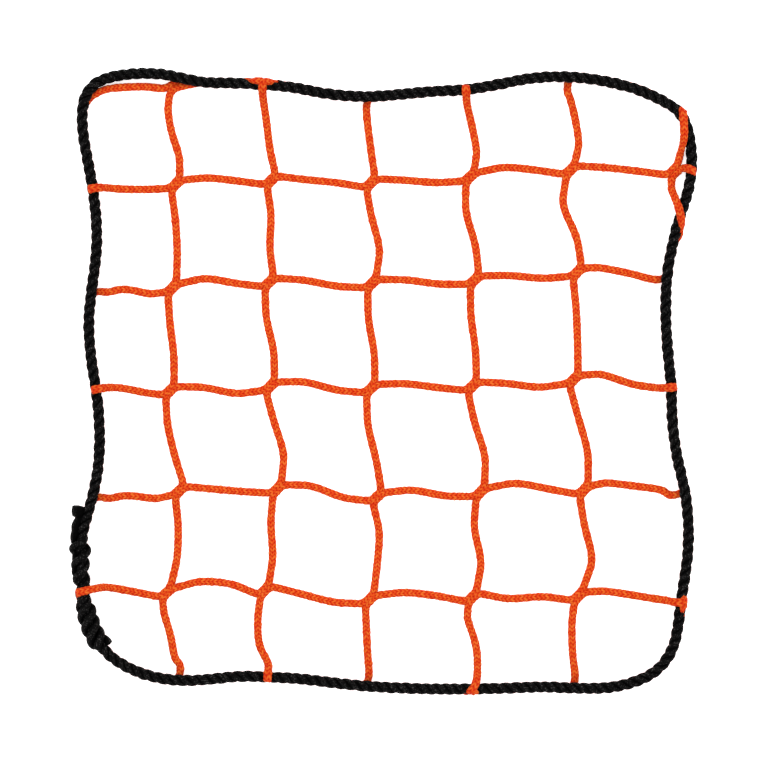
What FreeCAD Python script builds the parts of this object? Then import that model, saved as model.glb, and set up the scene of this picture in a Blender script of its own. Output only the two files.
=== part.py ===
"""Golf chipping net: a square panel of braided netting, six meshes by six, lying flat on Z = 0.

A laid rope is woven over and under the edge meshes all the way round, and its two ends are joined by a
short splice on the left. Millimetres, +X right, +Y up the panel, origin on the ground under the middle.

The netting has no knots. Twelve braids climb across it like stairs, right, up, right, up, and at every
joint two of them run side by side along the diagonal. Joint (i, j) is in column i from the left and row j
from the bottom, both 0 to 6.
"""
import FreeCAD
import Part
import math
import os

# Driving dimensions
MESHES = 6                      # meshes along each side of the panel
CORD_D = 3.0                    # braid of the netting
ROPE_D = 4.4                    # laid rope
STRAND_D = 1.9                  # one of the rope's three strands, unlaid
GAP = 0.02                      # clearance between braids that touch
OUTLINE_MIDDLE = (-0.32, -0.89)   # middle of the outline in the laid-out coordinates below

# Worked out from them
FLOOR_Z = CORD_D / 2            # axis of a braid that lies on the ground
SIDE_STEP = (CORD_D + GAP) / 2  # each braid's distance from the middle of a joint
JOINT_HALF = 3.0                # half the length of a joint between free meshes
HIDDEN_HALF = 1.5               # the same under the rope, where the rope squeezes it
OVER = (CORD_D + ROPE_D) / 2 + 0.2   # axis to axis, where a braid passes round the rope
CLEAR = 12.5                    # reach of an edge joint along the rope
ARC_SHARE = 0.45                # share of the shorter run that each bend takes

# Where the joints between free meshes lie, rows from the bottom, columns from the left
JOINTS = {
    1: ((-94.5, -92.0), (-52.0, -91.5), (-5.5, -95.0), (39.5, -94.0), (86.0, -93.5)),
    2: ((-88.0, -47.0), (-46.0, -46.5), (-3.0, -50.5), (43.0, -48.0), (88.0, -47.0)),
    3: ((-93.0, -3.5), (-49.0, -1.5), (-5.0, -2.5), (39.5, -1.5), (84.0, 1.5)),
    4: ((-92.0, 41.5), (-49.5, 44.0), (-4.5, 43.5), (40.5, 45.0), (85.5, 48.5)),
    5: ((-90.5, 87.0), (-49.0, 88.5), (-5.0, 87.0), (38.5, 90.0), (82.5, 93.0), (127.7, 92.9)),
}
EDGE_JOINTS_INSIDE = {(1, 6): (-91.4, 128.7)}   # an edge joint that lies clear of the rope

# How far each leg stands off the straight line between its joints, near one third and two thirds of it:
# upwards for the legs that run right, from the row's first joint on
SAG_RIGHT = {
    1: ((5.1, 3.0), (0.3, -2.1), (2.7, 1.0), (-0.4, -1.1)),
    2: ((0.4, -0.9), (2.5, -0.8), (2.1, -0.6), (3.6, 0.8)),
    3: ((0.8, -2.5), (1.9, -0.6), (1.7, -0.2), (0.2, -2.4)),
    4: ((2.9, -0.2), (1.1, -1.3), (1.0, -1.2), (0.6, -1.9)),
    5: ((2.1, 0.3), (0.9, -0.5), (0.2, -1.8), (3.1, 0.4), (1.0, -0.5)),
}
# to the right for the legs that run up, from the column's lowest joint on
SAG_UP = {
    1: ((2.9, 1.6), (-0.4, -2.3), (1.3, -0.6), (2.1, 0.5)),
    2: ((1.7, -0.9), (3.8, 0.5), (1.6, -1.4), (0.5, -0.4)),
    3: ((2.6, 2.2), (0.5, -2.1), (1.3, -1.3), (3.5, 0.2)),
    4: ((1.7, -1.5), (3.2, -0.2), (1.0, -1.2), (1.0, -2.4)),
    5: ((4.5, 1.0), (3.1, 0.2), (1.3, -0.2), (-0.4, -4.0)),
}
SAG_AT = (0.35, 0.65)

# Legs between the free joints and the edge, from the free joint outwards
LEGS_TO_EDGE = {
    (1, 6): ((-88.8, 99.5), (-91.8, 110.5), (-93.6, 119.0)),
    (2, 6): ((-49.3, 102.5), (-50.7, 115.0)),
    (3, 6): ((-4.6, 99.5), (-6.3, 112.5)),
    (4, 6): ((41.0, 101.5), (38.7, 113.5)),
    (5, 6): ((85.8, 105.0), (84.0, 116.0), (81.9, 125.5)),
    (1, 0): ((-95.4, -101.5), (-92.8, -111.0), (-89.4, -121.0)),
    (2, 0): ((-54.4, -103.5), (-52.5, -115.0)),
    (3, 0): ((-7.0, -105.5), (-6.4, -119.0)),
    (4, 0): ((37.8, -103.5), (40.9, -115.5)),
    (5, 0): ((83.0, -106.0), (83.4, -119.5)),
    (0, 5): ((-103.0, 84.0), (-114.0, 84.8)),
    (0, 4): ((-102.0, 39.2), (-113.5, 40.9)),
    (0, 3): ((-103.5, -4.4), (-113.5, -2.3)),
    (0, 2): ((-99.5, -50.6), (-112.5, -49.8)),
    (0, 1): ((-106.5, -92.0), (-117.0, -89.6)),
    (6, 4): ((95.5, 50.5), (109.0, 47.9)),
    (6, 3): ((96.5, 3.3), (109.0, -0.6), (114.6, -1.5)),
    (6, 2): ((98.5, -43.7), (112.0, -45.2), (123.0, -48.0)),
    (6, 1): ((98.0, -91.2), (111.0, -93.2), (118.5, -94.8)),
}

# How each edge mesh meets the rope: its joint under the rope, its leg over the rope and round its outer
# side to the joint below (wrap), or its joint up on the rope's outer side (tee)
MEETS = {
    (2, 6): "tee", (3, 6): "under", (4, 6): "wrap", (5, 6): "under",
    (6, 4): "under", (6, 3): "wrap", (6, 2): "under", (6, 1): "tee",
    (5, 0): "under", (4, 0): "tee", (3, 0): "under", (2, 0): "wrap", (1, 0): "under",
    (0, 2): "under", (0, 3): "wrap", (0, 4): "under", (0, 5): "wrap",
}

# Axis of the rope, clockwise from its end at the top of the splice's middle, with the edge joint that it
# meets where there is one
ROPE = (
    (-131.4, -88.5, 6.6), (-131.9, -80.5, 7.2), (-131.6, -72.0, 7.4), (-130.2, -63.5, 7.4),
    (-128.2, -56.5, 7.1), (-126.2, -50.0, 6.1, (0, 2)), (-124.2, -38.0, 5.3), (-123.6, -24.5, 5.3),
    (-124.0, -12.0, 5.3), (-125.2, -2.8, 5.3, (0, 3)), (-127.3, 11.5, 5.3), (-128.2, 26.5, 5.3),
    (-126.8, 40.0, 5.3, (0, 4)), (-124.8, 54.0, 5.3), (-124.4, 68.0, 5.3), (-126.2, 84.6, 5.3, (0, 5)),
    (-128.6, 99.0, 5.3), (-130.3, 111.0, 5.3), (-129.8, 122.5, 5.1), (-126.0, 129.5, 4.0),
    (-118.5, 133.5, 2.7), (-107.0, 135.3, 2.3), (-96.5, 134.8, 3.6), (-88.5, 133.3, 5.3, (1, 6)),
    (-78.0, 131.0, 5.3), (-65.0, 130.9, 5.3), (-52.3, 130.2, 5.3, (2, 6)), (-39.0, 128.6, 5.3),
    (-24.0, 126.0, 5.3), (-7.0, 125.0, 5.3, (3, 6)), (8.5, 126.2, 5.3), (22.5, 127.3, 5.3),
    (36.4, 127.8, 5.3, (4, 6)), (50.0, 130.0, 5.3), (65.0, 133.2, 5.3), (81.2, 133.8, 5.3, (5, 6)),
    (96.0, 131.9, 5.3), (111.0, 127.6, 5.3), (122.5, 122.2, 5.3), (129.2, 117.6, 5.3),
    (133.2, 110.0, 4.0), (135.2, 101.0, 2.7), (135.3, 92.5, 2.3), (133.6, 83.0, 2.7),
    (130.4, 73.5, 3.8), (127.5, 63.5, 5.1), (125.4, 54.0, 5.3), (124.4, 44.8, 5.3, (6, 4)),
    (124.2, 28.5, 5.3), (125.3, 12.5, 5.3), (126.4, -2.0, 5.3, (6, 3)), (126.9, -16.5, 5.3),
    (128.6, -30.5, 5.3), (131.0, -41.5, 5.3), (132.5, -49.2, 5.3, (6, 2)), (134.2, -62.0, 5.3),
    (133.5, -75.0, 5.3), (131.8, -86.0, 5.3), (130.3, -96.4, 5.3, (6, 1)), (129.2, -107.0, 5.3),
    (126.5, -117.0, 5.3), (119.8, -125.8, 5.3), (109.5, -131.0, 5.3), (97.5, -133.4, 5.3),
    (84.5, -133.4, 5.3, (5, 0)), (70.0, -132.6, 5.3), (55.0, -133.2, 5.3), (40.0, -133.6, 5.3, (4, 0)),
    (25.5, -133.8, 5.3), (10.5, -133.3, 5.3), (-6.0, -132.5, 5.3, (3, 0)), (-21.5, -131.0, 5.3),
    (-36.0, -129.5, 5.3), (-49.8, -128.7, 5.3, (2, 0)), (-63.0, -128.3, 5.3), (-76.0, -129.6, 5.3),
    (-87.7, -130.2, 5.3, (1, 0)), (-101.0, -128.3, 5.3), (-112.0, -123.9, 5.7), (-119.6, -118.4, 6.9),
    (-124.8, -111.5, 7.4), (-127.8, -104.0, 7.3), (-129.6, -97.0, 6.6),
)

# Braids at the places that fit none of those, in the direction that the braid climbs
LEFT_OVER_SPLICE = ((-133.8, -100.8, 2.8), (-136.3, -96.3, 7.4), (-134.0, -92.4, 11.4),
                    (-128.0, -91.4, 11.6), (-122.4, -90.3, 6.4))
LEFT_OUTSIDE_SPLICE = ((-136.4, -90.3, 10.2), (-137.8, -86.6, 6.2), (-135.4, -82.0, 1.7), (-131.9, -76.5))
LEFT_UNDER_SPLICE = ((-131.2, -68.5), (-129.3, -60.0))
CORNER_FOOT_UP = ((-127.3, -113.6), (-124.0, -110.2), (-127.2, -104.8))
CORNER_FOOT_RIGHT = ((-125.6, -116.1), (-121.6, -112.5), (-118.0, -116.1))
CORNER_FOOT_LEG = ((-112.8, -122.2), (-101.0, -128.3))
TOP_LEFT_BEND = ((-128.8, 99.0), (-130.0, 110.0), (-128.4, 119.5), (-123.6, 126.0), (-116.0, 128.7),
                 (-106.5, 129.0))
TOP_RIGHT_ALONG = ((96.0, 131.9), (110.5, 127.8))
TOP_RIGHT_END = ((119.0, 124.0), (124.3, 120.9))
TOP_RIGHT_OVER = ((130.9, 101.0, 3.2), (132.1, 107.0, 8.0), (132.3, 114.5, 9.3))
TOP_RIGHT_ROUND = ((131.8, 122.2, 8.6), (131.2, 123.0, 1.6), (126.6, 118.6))
RIGHT_STUB_OVER = ((126.65, 89.7), (130.9, 94.0, 2.0), (132.8, 93.8, 6.2), (138.0, 92.8, 6.1))
RIGHT_ARM_OVER = ((126.6, 55.5), (131.4, 61.0, 2.4), (132.2, 66.5, 7.2), (130.2, 73.0, 8.6),
                  (127.4, 80.5, 5.2))

# Splice: each end's three strands, unlaid, cross the other end's and wrap round the other end's rope.
# For each strand its angle where it starts, how far it reaches past the middle, and how far from the
# axis its end stands
SPLICE_MIDDLE = (-130.6, -92.7, 6.6)
SPLICE_HALF = 4.3               # from the middle to each end of the laid rope
STRANDS_DOWN = ((93.0, 22.0, 4.6), (213.0, 25.0, 4.2), (333.0, 18.0, 3.9))
STRANDS_UP = ((273.0, 36.5, 5.2), (33.0, 21.0, 4.0), (153.0, 26.0, 4.0))
WRAP_LEAD = 26.0                # distance along the rope in which a strand goes round it once
WRAP_STEP = 5.0                 # distance along the rope between points of a strand
START_R = 1.15                  # a strand's distance from the axis where it leaves its own rope
START_CLEAR = 0.6               # and its start's distance from the rope's end
WRAP_R = (ROPE_D + STRAND_D) / 2 + 0.05

def side_of(joint):
    """The side of the panel that an edge joint is on, or None inside it."""
    i, j = joint
    if j == MESHES:
        return "top"
    if i == MESHES:
        return "right"
    if j == 0:
        return "bottom"
    if i == 0:
        return "left"
    return None


def rope_index(joint):
    """Which point of the rope meets this edge joint."""
    return next(n for n, point in enumerate(ROPE) if point[3:] == (joint,))


def place(joint):
    """A free joint's X and Y."""
    i, j = joint
    return EDGE_JOINTS_INSIDE.get(joint) or JOINTS[j][i - 1]


def is_free(joint):
    """True where a joint lies clear of the rope."""
    i, j = joint
    return joint in EDGE_JOINTS_INSIDE or (j in JOINTS and 1 <= i <= len(JOINTS[j]))


def diagonal_pass(joint, upper):
    """Two points of a braid along a joint's diagonal, on its upper left or its lower right."""
    x, y = place(joint)
    run = JOINT_HALF / math.sqrt(2)
    step = SIDE_STEP / math.sqrt(2) * (1 if upper else -1)
    return [(x - run - step, y - run + step), (x + run - step, y + run + step)]


def meeting(joint, leg_braid):
    """A braid's points where an edge joint meets the rope, from its leg or its far arm's end inwards.

    leg_braid is the braid that goes on into the panel as a leg. The other one ends here. Distances are
    along the edge towards the leg braid's arm, outwards, and up.
    """
    at = rope_index(joint)
    cx, cy, cz = ROPE[at][:3]
    run_x, run_y = ROPE[at + 1][0] - ROPE[at - 1][0], ROPE[at + 1][1] - ROPE[at - 1][1]
    run = math.hypot(run_x, run_y)
    ox, oy = -run_y / run, run_x / run
    ahead = 1 if side_of(joint) in ("top", "bottom") else -1
    ax, ay = ahead * run_x / run, ahead * run_y / run
    style = MEETS[joint]
    half, step = HIDDEN_HALF / math.sqrt(2), SIDE_STEP / math.sqrt(2)
    top = cz + OVER
    if style == "under" and leg_braid:
        local = [(0.3, -7.0, FLOOR_Z), (step - half, -step - half, FLOOR_Z),
                 (step + half, half - step, FLOOR_Z), (6.5, 0.5, FLOOR_Z)]
    elif style == "under":
        local = [(-6.5, -0.5, FLOOR_Z), (-step - half, step - half, FLOOR_Z),
                 (half - step, half + step, FLOOR_Z)]
    elif style == "wrap" and leg_braid:
        local = [(0.0, -7.6, 4.6), (0.1, -3.2, top), (0.1, OVER, top), (0.4, OVER, FLOOR_Z),
                 (5.0, -1.0, FLOOR_Z)]
    elif style == "wrap":
        local = [(-9.0, 0.1, FLOOR_Z), (-4.4, -0.3, FLOOR_Z), (-2.3, 1.8, FLOOR_Z)]
    elif leg_braid:
        local = [(0.0, -7.6, 4.6), (0.1, -3.0, top), (1.4, 1.4, top), (6.0, OVER + 0.1, cz + 1.6),
                 (9.8, OVER - 0.3, FLOOR_Z)]
    else:
        local = [(-9.8, OVER - 0.3, FLOOR_Z), (-6.2, OVER + 0.1, cz + 1.6), (-0.9, OVER, top - 0.5)]
    return [(cx + a * ax + o * ox, cy + a * ay + o * oy, z) for a, o, z in local]


def through(joint, entering):
    """A braid's points at a joint, in the direction that it climbs. entering is left or below."""
    if joint == (0, 1):
        return list(LEFT_OVER_SPLICE if entering == "below" else LEFT_OUTSIDE_SPLICE)
    if joint == (0, 0):
        return list(CORNER_FOOT_UP if entering == "left" else CORNER_FOOT_RIGHT)
    if joint == (6, 6):
        return list(TOP_RIGHT_END if entering == "left" else TOP_RIGHT_ROUND)
    if joint in ((0, 6), (6, 0)):
        return []
    if joint == (6, 5) and entering == "below":
        return list(RIGHT_STUB_OVER)
    if is_free(joint):
        return diagonal_pass(joint, upper=entering == "left")
    side = side_of(joint)
    leg_braid = entering == ("left" if side in ("right", "bottom") else "below")
    points = meeting(joint, leg_braid)
    if side in ("bottom", "left"):
        points.reverse()
    return points


def beneath(start, end):
    """Points on the ground under the rope between two edge joints, from the first to the second."""
    first, last = sorted((rope_index(start), rope_index(end)))
    points = [point[:2] for point in ROPE[first + 1:last]
              if min(math.dist(point[:2], ROPE[first][:2]), math.dist(point[:2], ROPE[last][:2])) > CLEAR]
    return points if rope_index(start) == first else points[::-1]


def sagging(start, end):
    """The two points of a leg between free joints."""
    (x0, y0), (x1, y1) = place(start), place(end)
    i, j = start
    runs_right = end[0] > i
    sags = SAG_RIGHT[j][i - 1] if runs_right else SAG_UP[i][j - 1]
    points = []
    for share, sag in zip(SAG_AT, sags):
        x = x0 + share * (x1 - x0)
        y = y0 + share * (y1 - y0)
        points.append((x, y + sag) if runs_right else (x + sag, y))
    return points


SPECIAL_LEGS = {
    ((0, 0), (0, 1)): (),
    ((0, 0), (1, 0)): CORNER_FOOT_LEG,
    ((0, 1), (0, 2)): LEFT_UNDER_SPLICE,
    ((0, 5), (0, 6)): (),
    ((0, 6), (1, 6)): TOP_LEFT_BEND,
    ((5, 6), (6, 6)): TOP_RIGHT_ALONG,
    ((6, 5), (6, 6)): TOP_RIGHT_OVER,
    ((6, 4), (6, 5)): RIGHT_ARM_OVER,
    ((5, 0), (6, 0)): (),
}


def leg(start, end):
    """A braid's points between two neighbouring joints, in the direction that it climbs."""
    if (start, end) in SPECIAL_LEGS:
        return list(SPECIAL_LEGS[start, end])
    if (start, end) == ((6, 0), (6, 1)):
        return beneath((5, 0), end)
    if side_of(start) and side_of(start) == side_of(end):
        return beneath(start, end)
    if end in LEGS_TO_EDGE:
        return list(LEGS_TO_EDGE[end])
    if start in LEGS_TO_EDGE:
        return list(reversed(LEGS_TO_EDGE[start]))
    return sagging(start, end)


def braid_route(start, entering):
    """The whole route of the braid that starts at an edge joint, as points with X, Y and Z."""
    route = []
    joint = start
    while True:
        route += through(joint, entering)
        i, j = joint
        if entering == "left":
            following, entering = (i, j + 1), "below"
        else:
            following, entering = (i + 1, j), "left"
        if max(following) > MESHES:
            break
        route += leg(joint, following)
        joint = following
    return [point if len(point) == 3 else (*point, FLOOR_Z) for point in route]


def splice_axis(sense):
    """The axis from the splice's middle along one end of the rope: up the panel for sense 1, or down."""
    points = [point[:3] for point in (ROPE[:7] if sense > 0 else reversed(ROPE[-7:]))]
    return [FreeCAD.Vector(*point) for point in [SPLICE_MIDDLE, *points]]


def along(axis, distance):
    """The point and direction at a distance along a line of points, or before its first."""
    before = axis[0]
    for after in axis[1:]:
        run = after - before
        if distance <= run.Length or after is axis[-1]:
            break
        distance -= run.Length
        before = after
    direction = FreeCAD.Vector(run).normalize()
    return before + direction * distance, direction


def strand_route(sense, angle, reach, end_r):
    """One unlaid strand, from the end of its own rope to its cut end beyond the other."""
    own, other = splice_axis(-sense), splice_axis(sense)
    up = FreeCAD.Vector(0, 0, 1)
    steps = max(2, round((reach - SPLICE_HALF) / WRAP_STEP))
    half_turn = math.pi * (reach - SPLICE_HALF) / steps / WRAP_LEAD
    stations = [SPLICE_HALF + (reach - SPLICE_HALF) * n / steps for n in range(steps + 1)]
    start, heading = along(own, SPLICE_HALF - START_CLEAR)
    turned = math.radians(angle)
    right = (heading * -sense).cross(up).normalize()
    route = [start + right * START_R * math.cos(turned) + up * START_R * math.sin(turned)]
    for station in stations:
        point, heading = along(other, station)
        right = (heading * sense).cross(up).normalize()
        turned = math.radians(angle - sense * 360 * (station - SPLICE_HALF) / WRAP_LEAD)
        r = end_r if station == stations[-1] else WRAP_R / math.cos(half_turn)
        route.append(point + right * r * math.cos(turned) + up * r * math.sin(turned))
    return route


def tube(points, diameter):
    """A round tube along straight runs joined by tangent arcs, with its length and tightest radius."""
    shift = FreeCAD.Vector(*OUTLINE_MIDDLE, 0)
    points = [FreeCAD.Vector(*point) - shift for point in points]
    edges = []
    at = points[0]
    tightest = math.inf
    for before, corner, after in zip(points, points[1:], points[2:]):
        back, ahead = before - corner, after - corner
        turn = math.pi - back.getAngle(ahead)
        cut = ARC_SHARE * min(back.Length, ahead.Length)
        radius = cut / math.tan(turn / 2)
        tightest = min(tightest, radius)
        start = corner + FreeCAD.Vector(back).normalize() * cut
        end = corner + FreeCAD.Vector(ahead).normalize() * cut
        inwards = (start + end) * 0.5 - corner
        middle = corner + FreeCAD.Vector(inwards).normalize() * (radius / math.cos(turn / 2) - radius)
        edges.append(Part.LineSegment(at, start).toShape())
        edges.append(Part.Arc(start, middle, end).toShape())
        at = end
    edges.append(Part.LineSegment(at, points[-1]).toShape())
    path = Part.Wire(edges)
    section = Part.Wire(Part.Circle(points[0], points[1] - points[0], diameter / 2).toShape())
    solid = path.makePipe(Part.Face(section))
    return solid, path.Length, tightest


def make(name, points, diameter):
    """Writes one piece, and prints its length, tightest bend and how true its volume is."""
    solid, length, tightest = tube(points, diameter)
    expected = math.pi * diameter ** 2 / 4 * length
    print(f"{name}: {len(points)} points, {length:.1f} mm long, tightest bend {tightest:.1f} mm, "
          f"volume {solid.Volume / expected:.4f} of section x length, valid {solid.isValid()}")
    solid.exportStep(f"parts/{name}.step")
    return solid


os.makedirs("parts", exist_ok=True)
solids = []
for n in range(MESHES):
    solids.append(make(f"braid_from_left_{n + 1}", braid_route((0, n), "left"), CORD_D))
    solids.append(make(f"braid_from_bottom_{n + 1}", braid_route((n, 0), "below"), CORD_D))
solids.append(make("border_rope", [point[:3] for point in ROPE], ROPE_D))
for n, strand in enumerate(STRANDS_DOWN):
    solids.append(make(f"splice_strand_down_{n + 1}", strand_route(-1, *strand), STRAND_D))
for n, strand in enumerate(STRANDS_UP):
    solids.append(make(f"splice_strand_up_{n + 1}", strand_route(1, *strand), STRAND_D))
box = Part.makeCompound(solids).BoundBox
print(f"outline {box.XLength:.2f} x {box.YLength:.2f} x {box.ZLength:.2f} mm, "
      f"middle {box.Center.x:.2f}, {box.Center.y:.2f}, lowest {box.ZMin:.3f}")
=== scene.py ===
"""Looks of the golf chipping net: twelve knitted braids, a laid border rope and its short splice."""
import math

import bpy
import numpy as np
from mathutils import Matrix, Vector


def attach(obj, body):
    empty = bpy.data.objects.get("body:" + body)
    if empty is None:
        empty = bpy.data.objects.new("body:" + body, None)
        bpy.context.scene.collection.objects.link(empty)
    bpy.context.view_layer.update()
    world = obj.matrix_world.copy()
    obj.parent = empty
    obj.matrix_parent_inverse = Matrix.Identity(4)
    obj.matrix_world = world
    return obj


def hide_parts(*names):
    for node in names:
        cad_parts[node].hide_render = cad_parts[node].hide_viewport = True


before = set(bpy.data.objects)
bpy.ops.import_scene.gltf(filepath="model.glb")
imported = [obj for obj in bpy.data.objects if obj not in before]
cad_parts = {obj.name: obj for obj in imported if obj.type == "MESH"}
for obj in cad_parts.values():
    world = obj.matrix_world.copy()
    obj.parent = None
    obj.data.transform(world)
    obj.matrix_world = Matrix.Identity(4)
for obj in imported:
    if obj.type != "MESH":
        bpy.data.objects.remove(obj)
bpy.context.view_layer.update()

# ------------------------------------------------------ sizes, in millimetres as in the CAD source
MM = 0.001
MESHES = 6
CORD_D = 3.0
ROPE_LOOKS = 5.02               # over the strands' loose fibres
OUTLINE_MIDDLE = (-0.32, -0.89)    # where the frame's origin is among the routes' points
FLOOR_Z = CORD_D / 2 + 0.2      # a braid's loose stitches lift its middle
SIDE_STEP = 0.70                # the braids of a joint are knitted into each other
JOINT_HALF = 3.3                # half the length that they share
LEAD = 5.0                      # from a joint's end to a point that straightens its leg
HIDDEN_HALF = 1.5               # half the length that they share beneath the rope
OVER = 3.0                      # from the rope's axis to the middle of a braid pulled flat over it
BESIDE = 1.5                    # and how far outward that braid turns down the rope's side
CLEAR = 12.5                    # from a joint to the nearest point of a hidden leg
OUTWARD = 0.45                  # by which a hidden braid lies outside the rope's axis
SAG_MORE = 1.12                 # the spline cuts inside its points

# ------------------------------------------------------ routes, near the CAD source's, moved one by one
# Joint (i, j) is the one i meshes from the left edge and j from the bottom edge. A point without a height
# lies on the floor.
JOINTS = {                      # the middles of the free joints of row j, from the left
    1: ((-94.5, -92.0), (-51.5, -91.0), (-5.5, -95.0), (39.5, -94.0), (86.0, -93.5)),
    2: ((-88.8, -47.3), (-46.0, -46.5), (-2.2, -50.0), (43.0, -48.0), (88.4, -47.0)),
    3: ((-93.0, -3.5), (-49.0, -1.5), (-5.0, -2.5), (39.5, -1.5), (84.0, 1.5)),
    4: ((-92.0, 41.5), (-49.5, 44.0), (-4.5, 43.5), (40.5, 45.0), (85.5, 48.5)),
    5: ((-90.5, 87.0), (-48.6, 88.7), (-5.0, 87.5), (38.5, 90.2), (82.5, 93.2), (127.7, 92.9)),
}
LOOSE_EDGE_JOINT = (1, 6)       # an edge joint in the open, beside the rope
SAG_AT = (0.35, 0.65)           # shares of a leg between free joints
SAG_RIGHT = {                   # how far up the legs along row j bow there, from the left
    1: ((4.4, 3.2), (-0.1, -2.4), (2.7, 1.0), (-1.0, 0.2)),
    2: ((0.4, -0.8), (2.5, -1.5), (2.3, -0.9), (3.6, 0.8)),
    3: ((0.8, -2.5), (2.2, -1.0), (1.7, -0.2), (0.2, -2.4)),
    4: ((3.3, 0.4), (1.1, -1.3), (1.0, -1.2), (0.8, -1.5)),
    5: ((2.1, 0.3), (0.6, -0.1), (0.3, -1.5), (3.1, 1.0), (1.1, -0.2)),
}
SAG_UP = {                      # and how far right the legs along column i bow, from the bottom
    1: ((2.6, 1.4), (-0.6, -2.3), (1.3, -0.6), (1.6, 0.5)),
    2: ((1.7, -0.9), (3.8, 0.5), (1.6, -1.4), (-0.2, 0.4)),
    3: ((2.0, 2.2), (0.5, -2.1), (1.3, -1.3), (3.5, 0.2)),
    4: ((2.7, -1.5), (3.2, -0.2), (1.0, -1.2), (1.0, -2.4)),
    5: ((5.2, 1.0), (3.1, 0.4), (1.0, 0.1), (0.8, -4.3)),
}
LEGS_TO_EDGE = {                # points of the leg from the nearest free joint to each edge joint
    (1, 6): ((-88.8, 99.5), (-92.5, 110.0), (-93.9, 119.0)),
    (2, 6): ((-49.3, 102.5), (-50.7, 115.0)),
    (3, 6): ((-4.6, 99.5), (-6.3, 112.5)),
    (4, 6): ((41.6, 101.5), (39.2, 113.5)),
    (5, 6): ((86.4, 105.0), (84.6, 116.0), (82.2, 125.5)),
    (1, 0): ((-95.5, -101.5), (-92.5, -111.0), (-91.0, -121.0)),
    (2, 0): ((-54.6, -103.5), (-54.3, -115.0)),
    (3, 0): ((-7.0, -105.5), (-6.4, -119.0)),
    (4, 0): ((37.3, -103.5), (41.6, -115.5)),
    (5, 0): ((83.0, -106.0), (83.4, -119.5)),
    (0, 5): ((-103.0, 84.7), (-114.0, 84.8)),
    (0, 4): ((-102.0, 38.9), (-113.5, 41.5)),
    (0, 3): ((-103.5, -4.4), (-113.5, -2.3)),
    (0, 2): ((-99.5, -50.9), (-112.5, -49.0)),
    (0, 1): ((-106.5, -92.0), (-117.0, -90.0)),
    (6, 4): ((95.5, 50.5), (109.0, 47.9)),
    (6, 3): ((96.5, 3.9), (109.0, -0.6), (114.6, -1.5)),
    (6, 2): ((98.5, -43.7), (112.0, -45.4), (123.0, -46.8)),
    (6, 1): ((98.0, -91.2), (111.0, -93.2), (118.5, -94.5)),
}
MEETS = {                       # how the braids of an edge joint meet the rope
    (2, 6): "tee", (3, 6): "under", (4, 6): "wrap", (5, 6): "under",
    (6, 4): "under", (6, 3): "wrap", (6, 2): "under", (6, 1): "tee",
    (5, 0): "under", (4, 0): "tee", (3, 0): "under", (2, 0): "wrap", (1, 0): "under",
    (0, 2): "under", (0, 3): "wrap", (0, 4): "under", (0, 5): "wrap",
}
# A tee's leg goes over the rope and parts into two arms along its outer side. Each row holds the reach of
# the arms, the leg's own braid first, how far the leg leans along the rope, how far outward the braids
# turn, and how far the arms' middles are above the rope's axis.
TEES = {
    (2, 6): {"arms": (8.4, 8.0), "lean": 0.3, "side": 1.1, "rise": (1.2, 1.2)},
    (6, 1): {"arms": (5.6, 7.6), "lean": 0.0, "side": 1.0, "rise": (1.0, 0.1)},
    (4, 0): {"arms": (4.6, 0.8), "lean": -0.9, "side": 1.0, "rise": (-0.8, 1.2)},
}
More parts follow.
